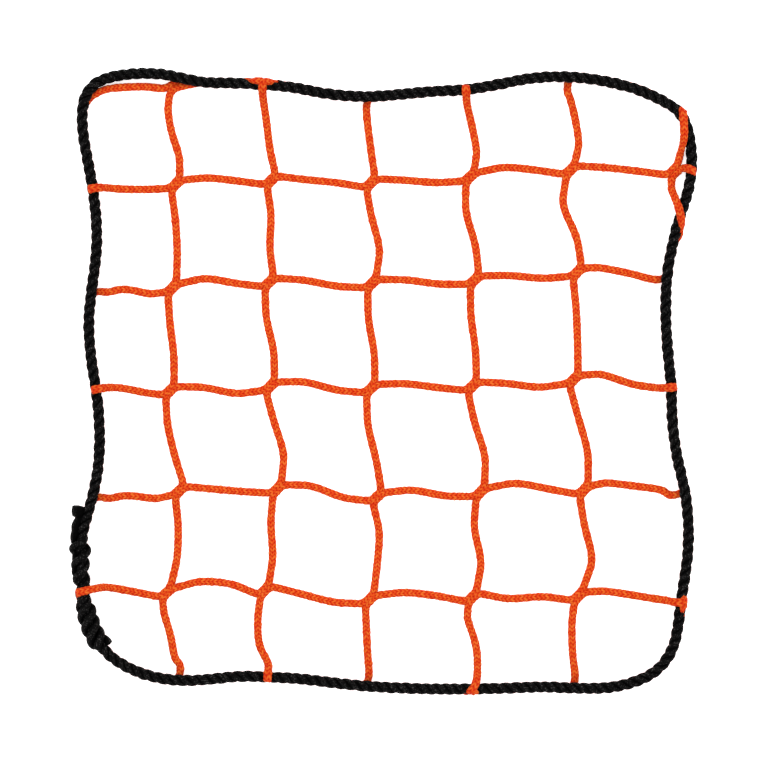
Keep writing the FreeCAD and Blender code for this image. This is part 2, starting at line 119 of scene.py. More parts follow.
# The rope goes clockwise from the splice and back to it. A fourth value is the edge joint that is there.
ROPE = (
    (-131.0, -88.5, 6.6), (-131.1, -80.5, 7.2), (-131.2, -72.0, 7.4), (-130.2, -63.5, 7.0),
    (-128.2, -56.5, 6.2), (-126.2, -49.2, 5.5, (0, 2)), (-124.0, -38.0, 5.3), (-123.2, -24.5, 5.3),
    (-123.7, -12.0, 5.3), (-124.8, -2.8, 5.3, (0, 3)), (-127.3, 11.5, 5.3), (-128.4, 26.5, 5.3),
    (-126.8, 40.6, 5.3, (0, 4)), (-124.8, 54.0, 5.3), (-124.4, 68.0, 5.3), (-126.2, 84.6, 5.3, (0, 5)),
    (-128.8, 99.0, 5.3), (-131.0, 111.0, 5.3), (-130.9, 122.6, 5.1), (-126.9, 130.3, 4.0),
    (-119.0, 134.1, 2.8), (-107.0, 135.5, 2.7), (-96.5, 135.1, 3.6), (-88.5, 133.3, 5.3, (1, 6)),
    (-78.0, 131.0, 5.3), (-65.0, 130.9, 5.3), (-52.3, 130.2, 5.3, (2, 6)), (-39.0, 129.1, 5.3),
    (-24.0, 126.0, 5.3), (-7.0, 124.6, 5.3, (3, 6)), (8.5, 125.9, 5.3), (22.5, 127.3, 5.3),
    (36.4, 127.8, 5.3, (4, 6)), (50.0, 130.0, 5.3), (65.0, 133.2, 5.3), (81.2, 133.8, 5.3, (5, 6)),
    (96.0, 132.1, 5.3), (111.4, 128.3, 5.3), (122.9, 123.0, 5.3), (130.0, 118.5, 5.3),
    (134.0, 110.5, 4.0), (135.5, 101.2, 2.8), (135.6, 92.3, 2.7), (133.7, 82.8, 2.8),
    (130.4, 73.5, 3.8), (127.5, 63.5, 5.1), (125.4, 54.0, 5.3), (124.1, 44.8, 5.3, (6, 4)),
    (123.6, 28.5, 5.3), (124.7, 12.5, 5.3), (126.4, -2.0, 5.3, (6, 3)), (126.5, -16.5, 5.3),
    (128.2, -30.5, 5.3), (130.8, -41.5, 5.3), (132.5, -48.6, 5.3, (6, 2)), (133.9, -62.0, 5.3),
    (133.5, -75.0, 5.3), (131.8, -86.0, 5.3), (130.3, -95.9, 5.3, (6, 1)), (129.2, -107.0, 5.3),
    (126.8, -117.2, 5.3), (120.1, -126.1, 5.3), (109.5, -131.0, 5.3), (97.5, -133.4, 5.3),
    (84.5, -133.4, 5.3, (5, 0)), (70.0, -132.6, 5.3), (55.0, -133.2, 5.3), (40.0, -133.6, 5.3, (4, 0)),
    (25.5, -133.8, 5.3), (10.5, -133.3, 5.3), (-6.0, -132.5, 5.3, (3, 0)), (-21.5, -131.0, 5.3),
    (-36.0, -129.1, 5.3), (-49.8, -128.3, 5.3, (2, 0)), (-63.0, -127.9, 5.3), (-76.0, -129.6, 5.3),
    (-88.5, -130.2, 5.3, (1, 0)), (-101.0, -128.3, 5.3), (-112.0, -123.9, 5.7), (-119.6, -118.4, 6.9),
    (-124.8, -111.5, 7.4), (-127.8, -104.0, 7.3), (-129.6, -97.0, 6.6),
)
SPLICE_MIDDLE = (-130.6, -92.7, 6.6)
SPLICE_ENDS = 7                 # points of the rope that the splice reaches, each way

# Passes through the joints at the corners and at the splice, by the side from which the braid comes.
SPECIAL_PASSES = {
    ((0, 0), "left"): ((-123.4, -114.6), (-126.4, -109.8), (-129.2, -103.6)),
    ((0, 0), "below"): ((-125.9, -110.6), (-122.6, -116.0), (-117.6, -120.7)),
    ((0, 1), "left"): ((-131.4, -93.2), (-131.8, -86.6), (-131.9, -80.0), (-131.6, -72.5)),
    ((0, 1), "below"): ((-131.8, -97.0, 1.5), (-132.4, -93.2, 2.2), (-132.8, -91.2, 10.0),
                        (-129.4, -90.3, 10.9), (-125.6, -89.6, 9.6), (-121.6, -89.3, 3.0)),
    ((0, 6), "below"): (),
    ((1, 6), "left"): ((-95.2, 128.8), (-91.9, 130.7), (-88.4, 133.6)),
    ((1, 6), "below"): ((-93.3, 126.0), (-91.4, 129.0), (-86.6, 130.2), (-79.8, 131.5)),
    ((6, 0), "left"): (),
    ((6, 5), "below"): ((126.7, 89.9), (129.2, 92.3), (131.5, 94.2, 2.2), (134.0, 93.4, 5.4),
                        (136.3, 92.4, 5.4), (136.9, 92.1, 2.2)),
    ((6, 6), "left"): ((120.2, 125.5), (127.7, 120.4)),
    ((6, 6), "below"): ((131.0, 117.3, 8.2), (130.9, 119.1, 7.6), (130.8, 118.9, 1.8), (128.8, 118.6)),
}
# And the legs there, from joint to joint.
SPECIAL_LEGS = {
    ((0, 0), (0, 1)): (),
    ((0, 0), (1, 0)): ((-110.6, -125.4), (-101.0, -128.9)),
    ((0, 1), (0, 2)): ((-131.2, -65.0), (-129.2, -57.5)),
    ((0, 5), (0, 6)): (),
    ((0, 6), (1, 6)): ((-129.4, 99.0), (-131.8, 110.0), (-131.8, 118.8), (-128.5, 125.0), (-121.9, 128.7),
                       (-113.5, 129.5), (-104.0, 129.8)),
    ((5, 6), (6, 6)): ((96.4, 133.0), (112.0, 129.4)),
    ((6, 5), (6, 6)): ((130.8, 101.4, 2.6), (131.6, 106.8, 7.0), (131.2, 112.6, 8.4)),
    ((6, 4), (6, 5)): ((126.0, 57.0), (128.3, 61.8, 1.6), (130.9, 66.4, 4.6), (130.5, 71.6, 7.2),
                       (128.5, 78.8, 6.0), (126.8, 84.4, 2.2)),
    ((5, 0), (6, 0)): (),
}


def side_of(joint):
    i, j = joint
    if j == MESHES:
        return "top"
    if i == MESHES:
        return "right"
    if j == 0:
        return "bottom"
    if i == 0:
        return "left"
    return None


def is_free(joint):
    i, j = joint
    return joint == LOOSE_EDGE_JOINT or (j in JOINTS and 1 <= i <= len(JOINTS[j]))


def diagonal_pass(joint, upper):
    """A braid's points at a free joint, up and to the right beside the other braid."""
    i, j = joint
    x, y = JOINTS[j][i - 1]
    run = JOINT_HALF / math.sqrt(2)
    step = SIDE_STEP / math.sqrt(2) * (1 if upper else -1)
    return [(x + share * run - step, y + share * run + step) for share in (-1, 0, 1)]


def rope_index(joint):
    return next(n for n, point in enumerate(ROPE) if point[3:] == (joint,))


def rope_heading(n):
    """The rope's direction at one of its points. Outward is a quarter turn to the left of it."""
    run_x, run_y = ROPE[n + 1][0] - ROPE[n - 1][0], ROPE[n + 1][1] - ROPE[n - 1][1]
    run = math.hypot(run_x, run_y)
    return run_x / run, run_y / run


# The next three give a braid's points at an edge joint as (along the rope, outward, height). The leg's
# braid comes out to the rope and goes on along it. The other one has come along the rope and ends there.
def under_rope(leg_braid):
    half, step = HIDDEN_HALF / math.sqrt(2), SIDE_STEP / math.sqrt(2)
    if leg_braid:
        return ((0.2, -7.0, FLOOR_Z), (0.1, -2.6, FLOOR_Z), (step + half, OUTWARD, FLOOR_Z),
                (6.5, OUTWARD, FLOOR_Z))
    return (-6.5, OUTWARD, FLOOR_Z), (-step - half, OUTWARD, FLOOR_Z), (half, OUTWARD + 0.3, FLOOR_Z)


def wrapped_over_rope(leg_braid, top):
    if leg_braid:
        return ((0.0, -5.6, 2.6), (0.0, -2.6, top), (0.1, BESIDE, top + 0.2),
                (0.3, BESIDE - 0.4, FLOOR_Z), (5.0, OUTWARD, FLOOR_Z))
    return (-9.0, OUTWARD, FLOOR_Z), (-4.4, OUTWARD, FLOOR_Z), (-0.9, 1.0, FLOOR_Z)


def tee_over_rope(leg_braid, axis_z, top, arms, lean, side, rise):
    own, other = arms
    own_rise, other_rise = rise
    if leg_braid:
        return ((2.2 * lean, -6.4, 2.4), (0.9 * lean, -2.4, top),
                (0.08 * own - 1.2 * lean, side - 0.1, top), (0.5 * own, side + 0.4, axis_z + own_rise),
                (0.95 * own, 0.8, axis_z - 1.7), (own + 4.0, OUTWARD, FLOOR_Z))
    return ((-other - 4.0, OUTWARD, FLOOR_Z), (-0.95 * other, 0.8, axis_z - 1.7),
            (-0.5 * other, side + 0.4, axis_z + other_rise), (-0.1 * other, side, top - 0.1),
            (1.3, side, axis_z + 1.4))


def meeting(joint, leg_braid):
    """A braid's points at an edge joint."""
    at = rope_index(joint)
    x, y, axis_z = ROPE[at][:3]
    run_x, run_y = rope_heading(at)
    ahead = 1 if side_of(joint) in ("top", "bottom") else -1
    top = axis_z + OVER
    if MEETS[joint] == "under":
        local = under_rope(leg_braid)
    elif MEETS[joint] == "wrap":
        local = wrapped_over_rope(leg_braid, top)
    else:
        local = tee_over_rope(leg_braid, axis_z, top, **TEES[joint])
    points = []
    for along, outward, z in local:
        along *= ahead
        points.append((x + along * run_x - outward * run_y, y + along * run_y + outward * run_x, z))
    return points


def through(joint, entering):
    """A braid's points at a joint that it enters from the left or from below."""
    if (joint, entering) in SPECIAL_PASSES:
        return list(SPECIAL_PASSES[joint, entering])
    if is_free(joint):
        return diagonal_pass(joint, upper=entering == "left")
    side = side_of(joint)
    points = meeting(joint, leg_braid=entering == ("left" if side in ("right", "bottom") else "below"))
    if side in ("bottom", "left"):      # there both braids run the other way
        points.reverse()
    return points


def beneath(start, end):
    """Points under the rope between two of its joints, well clear of both."""
    first, last = sorted((rope_index(start), rope_index(end)))
    points = []
    for n in range(first + 1, last):
        x, y = ROPE[n][:2]
        if min(math.dist((x, y), ROPE[k][:2]) for k in (first, last)) > CLEAR:
            run_x, run_y = rope_heading(n)
            points.append((x - OUTWARD * run_y, y + OUTWARD * run_x))
    return points if rope_index(start) == first else points[::-1]


def sagging(start, end):
    """Points of the leg between two free joints."""
    (i, j), (to_i, to_j) = start, end
    (x0, y0), (x1, y1) = JOINTS[j][i - 1], JOINTS[to_j][to_i - 1]
    runs_right = to_i > i
    sags = SAG_RIGHT[j][i - 1] if runs_right else SAG_UP[i][j - 1]
    points = []
    for share, sag in zip(SAG_AT, sags):
        x = x0 + share * (x1 - x0)
        y = y0 + share * (y1 - y0)
        points.append((x, y + sag * SAG_MORE) if runs_right else (x + sag * SAG_MORE, y))
    return points


def leg(start, end):
    """Points between two joints."""
    if (start, end) in SPECIAL_LEGS:
        return list(SPECIAL_LEGS[start, end])
    if start == (6, 0):             # the rope has no joint at this corner, so the one before it serves
        return beneath((5, 0), end)
    if side_of(start) and side_of(start) == side_of(end):
        return beneath(start, end)
    if end in LEGS_TO_EDGE:
        return list(LEGS_TO_EDGE[end])
    if start in LEGS_TO_EDGE:
        return list(reversed(LEGS_TO_EDGE[start]))
    return sagging(start, end)


def toward(start, end, distance):
    """The point a distance along a run from its start, on the floor as its ends are."""
    share = distance / math.dist(start[:2], end[:2])
    return start[0] + share * (end[0] - start[0]), start[1] + share * (end[1] - start[1])


def braid_route(start, entering):
    """Points of a whole braid, which climbs like stairs, up and to the right in turn."""
    route = []
    joint = start
    while True:
        passing = through(joint, entering)
        if route and is_free(joint):
            route.append(toward(passing[0], route[-1], LEAD))
        route += passing
        i, j = joint
        if entering == "left":
            following, entering = (i, j + 1), "below"
        else:
            following, entering = (i + 1, j), "left"
        if max(following) > MESHES:
            break
        between = leg(joint, following)
        if is_free(joint):
            ahead = (between or through(following, entering))[0]
            route.append(toward(route[-1], ahead, LEAD))
        route += between
        joint = following
    return [point if len(point) == 3 else (*point, FLOOR_Z) for point in route]


# ------------------------------------------------------ lines and sweeps
SPLINE_STEPS = 32               # points of the spline for each of the route's
TANGENT_REACH = 3               # points each way over which a line's direction is taken
SMALLEST_END = 0.02             # share of a ring's size that is left at a rounded end
WAVE_SHARES = (1.0, 0.61, 0.37)    # of the longest wave's length and height


def unit(v):
    return v / np.linalg.norm(v, axis=-1, keepdims=True)


def smooth_line(points):
    """The points along the NURBS spline of a route, in metres in the frame."""
    curve = bpy.data.curves.new("route", "CURVE")
    curve.dimensions = "3D"
    spline = curve.splines.new("NURBS")
    spline.points.add(len(points) - 1)
    for made, (x, y, z) in zip(spline.points, points):
        made.co = ((x - OUTLINE_MIDDLE[0]) * MM, (y - OUTLINE_MIDDLE[1]) * MM, z * MM, 1)
    spline.order_u = 3
    spline.use_endpoint_u = True
    spline.resolution_u = SPLINE_STEPS
    route = bpy.data.objects.new("route", curve)
    mesh = bpy.data.meshes.new_from_object(route)
    line = np.array([v.co for v in mesh.vertices], float)
    bpy.data.objects.remove(route)
    bpy.data.curves.remove(curve)
    bpy.data.meshes.remove(mesh)
    return line


def even(line, step):
    """Points a step apart along a line, and their distances along it, in millimetres."""
    line = line / MM
    gone = np.concatenate([[0], np.cumsum(np.linalg.norm(np.diff(line, axis=0), axis=1))])
    at = np.linspace(0, gone[-1], int(round(gone[-1] / step)) + 1)
    return np.stack([np.interp(at, gone, line[:, k]) for k in range(3)], axis=1), at


def frames(points):
    """Tangents, and normals carried along without twist, starting nearest to straight up."""
    n = len(points)
    ahead = points[np.minimum(np.arange(n) + TANGENT_REACH, n - 1)]
    behind = points[np.maximum(np.arange(n) - TANGENT_REACH, 0)]
    tangents = unit(ahead - behind)
    normals = np.zeros_like(points)
    normal = np.array((0.0, 0.0, 1.0))
    for k, t in enumerate(tangents):
        normal = normal - t * (normal @ t)
        normal = normal / math.sqrt(normal @ normal)
        normals[k] = normal
    return tangents, normals, np.cross(tangents, normals)


def make_mesh(name, rings, attributes):
    """A mesh of closed rings of points, in millimetres, with a fan to one more point at each end."""
    n, m = rings.shape[:2]
    co = np.concatenate([rings.reshape(-1, 3), [rings[0].mean(0), rings[-1].mean(0)]]) * MM
    ring, side = np.meshgrid(np.arange(n - 1) * m, np.arange(m), indexing="ij")
    beside = (side + 1) % m
    quads = np.stack([ring + side, ring + beside, ring + m + beside, ring + m + side], axis=-1)
    side = np.arange(m)
    beside = (side + 1) % m
    start = np.stack([np.full(m, n * m), beside, side], axis=-1)
    end = np.stack([np.full(m, n * m + 1), (n - 1) * m + side, (n - 1) * m + beside], axis=-1)
    loops = np.concatenate([quads.ravel(), start.ravel(), end.ravel()]).astype(np.int32)
    sizes = np.concatenate([np.full((n - 1) * m, 4), np.full(2 * m, 3)])
    starts = np.concatenate([[0], np.cumsum(sizes)[:-1]]).astype(np.int32)
    mesh = bpy.data.meshes.new(name)
    mesh.vertices.add(len(co))
    mesh.vertices.foreach_set("co", co.astype(np.float32).ravel())
    mesh.loops.add(len(loops))
    mesh.loops.foreach_set("vertex_index", loops)
    mesh.polygons.add(len(sizes))
    mesh.polygons.foreach_set("loop_start", starts)
    mesh.polygons.foreach_set("use_smooth", np.ones(len(sizes), bool))
    mesh.update(calc_edges=True)
    mesh.validate()
    for key, values in attributes.items():
        full = np.concatenate([values.ravel(), [values[0].mean(), values[-1].mean()]])
        mesh.attributes.new(key, "FLOAT", "POINT").data.foreach_set("value", full.astype(np.float32))
    piece = bpy.data.objects.new(name, mesh)
    bpy.context.scene.collection.objects.link(piece)
    return piece


def smoothstep(low, high, x):
    t = np.clip((x - low) / (high - low), 0, 1)
    return t * t * (3 - 2 * t)


def wander(at, seed, longest):
    """A slow wave along a line, between about -1 and 1, the same each time."""
    made = np.random.default_rng(seed)
    total = np.zeros_like(at)
    for share in WAVE_SHARES:
        total += share * np.sin(2 * math.pi * (at / (longest * share) + made.random()))
    return total / sum(WAVE_SHARES)


def ends(at, length, run):
    """Nearly 0 at both ends, rising as a quarter circle to 1 over a run."""
    t = np.clip(np.minimum(at, length - at) / run, 0, 1)
    return np.sqrt(np.clip(1 - (1 - t) ** 2, SMALLEST_END ** 2, 1))


# ------------------------------------------------------ the rope's line, which the braids hug
ROPE_LINE = smooth_line([point[:3] for point in ROPE])
SPLICE_ROUTE = (*ROPE[-SPLICE_ENDS:], SPLICE_MIDDLE, *ROPE[:SPLICE_ENDS])
SPLICE_LINE = smooth_line([point[:3] for point in SPLICE_ROUTE])
SPLICE_STEP = 0.25
ROPE_AXIS_STEP = 0.5
# Where the splice stands out from the rope: by how much, from where, full from, full to, and to where.
# Places are millimetres up from the splice's middle, or down where they are negative.
SPLICE_SWELLS = ((1.5, 3.0, 8.0, 24.0, 31.0), (1.95, -3.0, -8.0, -22.0, -27.0))
SPLICE_WAIST = 0.6              # and by how much in its middle, where the strands cross
AT_ONCE = 400                   # points whose distances from the rope are worked out together


def splice_axis():
    """Evenly spaced points along the splice, and their distances up from its middle."""
    points, at = even(SPLICE_LINE, SPLICE_STEP)
    middle = np.array(SPLICE_MIDDLE) - np.array((*OUTLINE_MIDDLE, 0.0))
    return points, at - at[np.linalg.norm(points - middle, axis=1).argmin()]


def splice_radius(station):
    """How far the splice's surface is from its axis."""
    radius = ROPE_LOOKS / 2 + SPLICE_WAIST * smoothstep(10.0, 5.0, np.abs(station))
    for swell, begins, full_from, full_to, stops in SPLICE_SWELLS:
        swell = swell * smoothstep(begins, full_from, station)
        radius = radius + swell * smoothstep(stops, full_to, station)
    return radius


SPLICE_AXIS, SPLICE_AT = splice_axis()
ROPE_AXIS = np.concatenate([even(ROPE_LINE, ROPE_AXIS_STEP)[0], SPLICE_AXIS])
ROPE_RADIUS = np.full(len(ROPE_AXIS), ROPE_LOOKS / 2)
ROPE_RADIUS[-len(SPLICE_AT):] = splice_radius(SPLICE_AT)


def nearest_on_rope(points):
    """For each point, the way out from the rope's axis, how far its surface is, and the rope's radius."""
    away, gap, round_it = np.zeros_like(points), np.zeros(len(points)), np.zeros(len(points))
    for k in range(0, len(points), AT_ONCE):
        some = points[k:k + AT_ONCE]
        apart = some[:, None] - ROPE_AXIS[None]
        far = np.sqrt((apart ** 2).sum(-1))
        best = (far - ROPE_RADIUS[None]).argmin(1)
        rows = np.arange(len(some))
        away[k:k + AT_ONCE] = apart[rows, best] / far[rows, best][:, None]
        gap[k:k + AT_ONCE] = far[rows, best] - ROPE_RADIUS[best]
        round_it[k:k + AT_ONCE] = ROPE_RADIUS[best]
    return away, gap, round_it


# ------------------------------------------------------ netting braid
BRAID_STEP = 0.29               # distance between rings
BRAID_SIDES = 50
BRAID_TURN = 400.0              # length in which the braid turns once about itself
COLUMNS = 10                    # of stitches round the braid, slanted left and right in turn
STITCH = 1.85                   # length of a stitch
SLANT = 0.62                    # of a stitch, across a column
BRAID_R = 1.80                  # to the top of a stitch
STITCH_RISE, COLUMN_RISE = 0.26, 0.20
BRAID_END = 1.3                 # length over which an end is rounded
FUSED_R = BRAID_R - 0.1         # of the melted end
# Pairs of values between which an effect grows from nothing to full.
BRAID_FUSED = (2.2, 0.6)        # distance from an end
PRESSED = (2.9, 0.5)            # distance from the middle of the braid to the rope's surface
ROPE_SHADE_REACH = (2.6, 0.2)             # the same, for the painted shade there
OVER_ROPE = (-0.6, 0.2)         # rise of the way out from the rope's axis: -1 beneath it, 0 at its side
OFF_SPLICE = (3.4, 2.7)         # radius of what the braid lies on
FLATTER = 0.46                  # share of its height that a braid loses over the rope and at its side
FLATTER_BENEATH = 0.04
WIDER = 0.03                    # share of its width that it gains there, unless it is on the splice
NARROWER_BENEATH = 0.06


def braid_surface(at, seed):
    """Radius, painted shade and highlight from the stitches' relief, and place across the yarn, for each
    ring and side.
    """
    theta = np.arange(BRAID_SIDES) / BRAID_SIDES
    turned = at / BRAID_TURN + 0.06 * wander(at, seed, 70.0) + seed * 0.137
    u = COLUMNS * (theta[None] + turned[:, None])
    column = np.round(u)
    across = u - column
    slant = SLANT * np.cos(math.pi * column) * across
    v = (at / STITCH + 0.2 * wander(at, seed + 40, 23.0))[:, None] + slant
    row = np.round(v)
    along = v - row
    uneven = np.sin(2.4 * row + 5.1 * np.mod(column, COLUMNS) + seed)
    stitch = np.sqrt(np.clip(1 - (1.9 * along) ** 2, 0, 1))
    dome = 1 - np.abs(2 * across) ** 2.4
    radius = BRAID_R - STITCH_RISE * (1 - stitch) - COLUMN_RISE * (1 - dome)
    radius = radius + 0.05 * uneven * stitch * dome
    swell = 0.03 * wander(at, seed + 80, 14.0) + 0.05 * wander(at, seed + 120, 4.6)
    radius = radius * (1 + swell[:, None])
    between = 0.5 - 0.5 * np.cos(2 * math.pi * along)
    # painted shade in the gaps between stitches and columns, painted highlight on the stitches' tops, and
    # some random tone
    painted_relief_shading = 1 - 0.85 * between * (1 - 0.5 * dome) - 0.15 * (1 - dome) + 0.15 * uneven
    return radius, painted_relief_shading, along


def pressed_rings(points, tangents, out, radius):
    """A braid's rings, squared and flattened where the rope presses them, and how near to it they are,
    for the painted shade there.
    """
    away, gap, round_it = nearest_on_rope(points)
    away = unit(away - tangents * (away * tangents).sum(1, keepdims=True))
    pressed = smoothstep(*PRESSED, gap)
    above = smoothstep(*OVER_ROPE, away[:, 2])
    facing = (out * away[:, None]).sum(-1)
    squared = (np.abs(facing) ** 3 + np.clip(1 - facing ** 2, 0, 1) ** 1.5) ** (-1 / 3)
    radius = radius * (1 + (squared - 1) * (pressed * above)[:, None])
    offset = out * radius[..., None]
    keep = 1 - pressed * (FLATTER * above + FLATTER_BENEATH * (1 - above))
    spread = WIDER * smoothstep(*OFF_SPLICE, round_it)
    wide = 1 + pressed * (spread * above - NARROWER_BENEATH * (1 - above))
    radial = (offset * away[:, None]).sum(-1, keepdims=True) * away[:, None]
    rings = points[:, None] + radial * keep[:, None, None] + (offset - radial) * wide[:, None, None]
    return rings, smoothstep(*ROPE_SHADE_REACH, gap)


def make_braid(name, route, seed):
    points, at = even(smooth_line(route), BRAID_STEP)
    tangents, normals, across = frames(points)
    radius, painted_relief_shading, ply = braid_surface(at, seed)
    length = at[-1]
    melt = smoothstep(*BRAID_FUSED, np.minimum(at, length - at))[:, None]
    radius = radius * (1 - melt) + FUSED_R * melt
    radius = radius * ends(at, length, BRAID_END)[:, None]
    theta = 2 * math.pi * np.arange(BRAID_SIDES) / BRAID_SIDES
    out = np.cos(theta)[None, :, None] * normals[:, None] + np.sin(theta)[None, :, None] * across[:, None]
    rings, painted_rope_shade = pressed_rings(points, tangents, out, radius)
    rings[..., 2] = np.maximum(rings[..., 2], 0.0)
    piece = make_mesh(name, rings, {
        # painted shade and highlight from the relief, evened out on the melted ends
        "painted_relief_shading": painted_relief_shading * (1 - melt) + 0.7 * melt,
        "ply": ply,
        "melt": np.broadcast_to(melt, radius.shape),
        # painted shade near the rope
        "painted_rope_shade": np.broadcast_to(painted_rope_shade[:, None], radius.shape),
    })
    return piece, points * MM, length * MM


# ------------------------------------------------------ laid rope
ROPE_STEP = 0.34
ROPE_SIDES = 26
ROPE_LAY = 13.0                 # length in which a strand goes round the rope once
YARNS = 7                       # round a strand
YARN_LAY = 21.0                 # length in which a yarn goes round its strand once
STRAND_END = 0.9                # length over which an end is rounded
THREE_WIDE = 2.155              # width of three touching strands, in strands
STRAND_FULLER = 1.03            # the strands press into each other
STRAND_BROADER = 1.12           # and spread sideways, so that no gap shows between them
STRAND_FUSED = (2.6, 0.8)       # distances from an end, between which it turns smooth
TAIL_SWOLLEN = (5.6, 4.0)       # and swells to the full size of its tip


def laid_strand(name, centres, at, outward, diameter, seed, thick=1.0, broad=1.0, tail=0.0):
    """A strand of twisted yarns along its own line. A tail is a fused end, that much thicker."""
    n = len(centres)
    ahead = centres[np.minimum(np.arange(n) + 1, n - 1)]
    behind = centres[np.maximum(np.arange(n) - 1, 0)]
    tangents = unit(ahead - behind)
    normals = unit(outward - tangents * (outward * tangents).sum(1, keepdims=True))
    across = np.cross(tangents, normals)
    turn = np.arange(ROPE_SIDES) / ROPE_SIDES
    yarn = YARNS * (turn[None] - (at / YARN_LAY + 0.05 * wander(at, seed, 31.0))[:, None])
    in_yarn = yarn - np.round(yarn)
    relief = np.sqrt(np.clip(1 - (1.9 * in_yarn) ** 2, 0, 1))
    radius = diameter / 2 * (0.93 + 0.075 * relief + 0.05 * wander(at, seed + 7, 9.0)[:, None])
    length = at[-1]
    melt = smoothstep(*STRAND_FUSED, length - at)[:, None] * (tail > 0)
    radius = radius * (1 - melt) + diameter / 2 * melt
    radius = radius * (1 + tail * smoothstep(*TAIL_SWOLLEN, length - at))[:, None]
    radius = radius * ends(at, length, STRAND_END)[:, None]
    theta = 2 * math.pi * turn
    thick, broad = (np.broadcast_to(np.asarray(v, float), n)[:, None, None] for v in (thick, broad))
    out = (np.cos(theta)[None, :, None] * normals[:, None] * thick
           + np.sin(theta)[None, :, None] * across[:, None] * broad)
    rings = centres[:, None] + out * radius[..., None]
    crown = 0.5 + 0.5 * np.cos(theta)[None]
    return make_mesh(name, rings, {
        # painted shade in the grooves between yarns, none on a fused end
        "painted_relief_shading": relief * (1 - melt) + melt,
        "ply": in_yarn,
        "crown": np.broadcast_to(crown, radius.shape),
        "melt": np.broadcast_to(melt, radius.shape),
    })


def make_rope():
    points, at = even(ROPE_LINE, ROPE_STEP)
    tangents, normals, across = frames(points)
    made = []
    strand_d = ROPE_LOOKS / THREE_WIDE
    centre_r = (ROPE_LOOKS - strand_d) / 2
    for k in range(3):
        angle = 2 * math.pi * (at / ROPE_LAY + 0.05 * wander(at, 11, 60.0) + k / 3)
        out = np.cos(angle)[:, None] * normals + np.sin(angle)[:, None] * across
        bulge = 1 + 0.10 * wander(at, 21 + k, 17.0)[:, None]
        made.append(laid_strand(f"rope_strand_{k + 1}", points + out * centre_r * bulge, at, out,
                                strand_d * STRAND_FULLER, 30 + k, broad=STRAND_BROADER))
    return made, points * MM, at[-1] * MM


# ------------------------------------------------------ splice
# Each strand: the way it leaves the middle, where it first lies on top, in how many millimetres it goes
# round once, how far it reaches, the angle in degrees at which its tail stays, and where it swells by how
# much.
UP, DOWN = 1, -1
SPLICE_STRANDS = {
    "splice_tail_up_1": (UP, 13.2, 13.0, 38.8, 166.0,
                         ((10.9, 0.3), (24.8, 0.9), (30.0, 0.9), (36.0, 1.4), (39.5, 1.8))),
    "splice_tail_up_2": (UP, 10.4, 13.0, 26.5, None, ((20.6, 1.4), (26.5, -1.2))),
    "splice_tail_up_3": (UP, 3.6, 13.0, 22.5, None, ((13.4, 0.6), (19.2, 0.7), (23.5, -1.0))),
    "splice_tail_down_1": (DOWN, 5.9, 16.0, 23.9, None, ((18.0, 0.3), (23.9, -0.4))),
    "splice_tail_down_2": (DOWN, 11.2, 16.0, 25.6, 368.0, ((24.0, 0.4), (28.0, 0.2))),
    "splice_tail_down_3": (DOWN, 16.5, 16.0, 22.5, None, ((12.0, 0.2),)),
}
LONG_TAIL = "splice_tail_up_1"  # lies along the rope at the splice's top, with a thick fused tip
SHORT_END = "splice_tail_down_2"    # sticks out at the splice's foot
SPLICE_START = 4.6              # on the other side of the middle, inside the rope's own end
SPLICE_STRAND_D = 2.5
SWELL_RUN = 2.4                 # reach of a swell, each way
CROSSING_R = 2.05               # from the splice's axis to a strand's middle, where the strands cross
FURTHER_UP, FURTHER_DOWN = 0.65, 1.1    # and how much further out it is when it has left the middle
SMOOTHING = 13                  # points over which a strand's turning stops


def splice_line(way, top, lead, reach, stay, swells):
    """Centres of a strand that winds round the splice's axis, how far along they are, and the way out."""
    station = np.arange(-SPLICE_START, reach, SPLICE_STEP)
    axis = np.stack([np.interp(way * station, SPLICE_AT, SPLICE_AXIS[:, k]) for k in range(3)], axis=1)
    heading = unit(np.gradient(axis, axis=0)) * way
    right = unit(np.cross(heading, (0.0, 0.0, 1.0)))
    upward = np.cross(right, heading)
    angle = 90.0 - way * 360.0 * (station - top) / lead
    if stay is not None:
        angle = np.maximum(angle, stay) if way == UP else np.minimum(angle, stay)
        padded = np.pad(angle, SMOOTHING // 2, mode="edge")
        angle = np.convolve(padded, np.full(SMOOTHING, 1 / SMOOTHING), mode="valid")
    further = FURTHER_UP if way == UP else FURTHER_DOWN
    radius = CROSSING_R + further * smoothstep(0.5, 6.5, station)
    for swell_at, extra in swells:
        radius = radius + extra * np.exp(-((station - swell_at) / SWELL_RUN) ** 2)
    out = np.cos(np.radians(angle))[:, None] * right + np.sin(np.radians(angle))[:, None] * upward
    centres = axis + radius[:, None] * out
    gone = np.concatenate([[0], np.cumsum(np.linalg.norm(np.diff(centres, axis=0), axis=1))])
    return centres, gone, out, station


def strand_size(name, station):
    """How thick a strand of the splice is along it, as a share of SPLICE_STRAND_D."""
    size = 0.92 + 0.08 * smoothstep(1.0, 6.0, station)
    if name == LONG_TAIL:
        waist = 0.3 * np.exp(-((station - 33.0) / 1.4) ** 2)
        size = size + 0.5 * smoothstep(22.0, 27.0, station) * (1 - waist)
    if SPLICE_STRANDS[name][0] == DOWN:
        size = size + 0.12 * smoothstep(2.0, 8.0, station)
    if name == SHORT_END:
        size = size + 0.2 * smoothstep(17.0, 23.0, station)
    return size


def make_splice_strand(name, seed):
    centres, at, out, station = splice_line(*SPLICE_STRANDS[name])
    size = strand_size(name, station)
    flat = smoothstep(2.0, 8.0, station)
    tail = 0.05
    if name == LONG_TAIL:
        flat = flat * smoothstep(27.0, 22.0, station)
        tail = 0.55
    return laid_strand(name, centres, at, out, SPLICE_STRAND_D, seed, tail=tail,
                       thick=size * (1 - 0.04 * flat), broad=size * (1 + 0.24 * flat))


